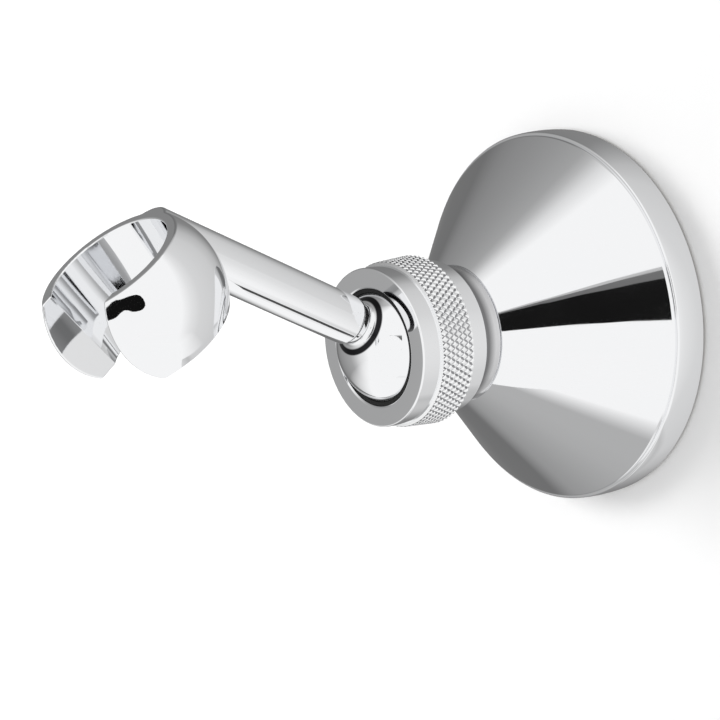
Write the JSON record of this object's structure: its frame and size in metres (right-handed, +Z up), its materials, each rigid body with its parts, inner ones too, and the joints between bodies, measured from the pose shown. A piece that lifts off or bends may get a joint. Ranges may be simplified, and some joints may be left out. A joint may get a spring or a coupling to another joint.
{
  "type": "hand shower holder",
  "caption": "Wall-mounted hand shower holder: conical flange, knurled collar over a ball joint, and a round arm with a slotted ball-shaped cup, all chrome plated.",
  "frame": {"origin": "middle of the flange's back, on the wall", "axes": "-Y leaves the wall along the socket's axis, +Z is up, +X is to the right seen from the front"},
  "size_m": [0.08, 0.1293, 0.08],
  "materials": {
    "chrome": "polished chrome plate on brass",
    "zinc_plate": "plain zinc plated plate",
    "steel": "plain stainless grub screw",
    "brass": "bare machined brass nut",
    "rubber": "matte black rubber",
    "white_plastic": "plain white acetal",
    "black_plastic": "matte black nylon"
  },
  "bodies": {
    "base": {"wall_plate": "zinc_plate", "wall_flange": "chrome", "grub_screw": "steel", "socket_body": "chrome", "lock_nut": "brass", "elastic_ring": "rubber"},
    "clamp": {"clamp_ring": "black_plastic"},
    "collar": {"knurled_collar": "chrome"},
    "seat": {"friction_seat": "white_plastic"},
    "ball": {"ball_stud": "chrome"},
    "holder": {"cup_arm": "chrome"}
  },
  "joints": [
    {"name": "collar_advance", "type": "slide", "parent": "base", "child": "clamp", "axis": [0, -1, 0], "range_m": [0, 0.00075]},
    {"name": "collar_turn", "type": "hinge", "parent": "clamp", "child": "collar", "pos_m": [0, -0.05, 0], "axis": [0, -1, 0], "range_deg": [0, 181]},
    {"name": "ball_swivel", "type": "hinge", "parent": "base", "child": "seat", "pos_m": [0, -0.04852, 0], "axis": [0, -1, 0], "continuous": true},
    {"name": "ball_tilt", "type": "hinge", "parent": "seat", "child": "ball", "pos_m": [0, -0.04852, 0], "axis": [-1, 0, 0], "range_deg": [-64.8, 11.1]},
    {"name": "arm_spin", "type": "hinge", "parent": "ball", "child": "holder", "pos_m": [0, -0.04852, 0], "axis": [0, -0.8923, 0.4513], "continuous": true}
  ],
  "couplings": [
    {"joint": "collar_turn", "follows": "collar_advance", "rad_per_m": 4188.8}
  ]
}
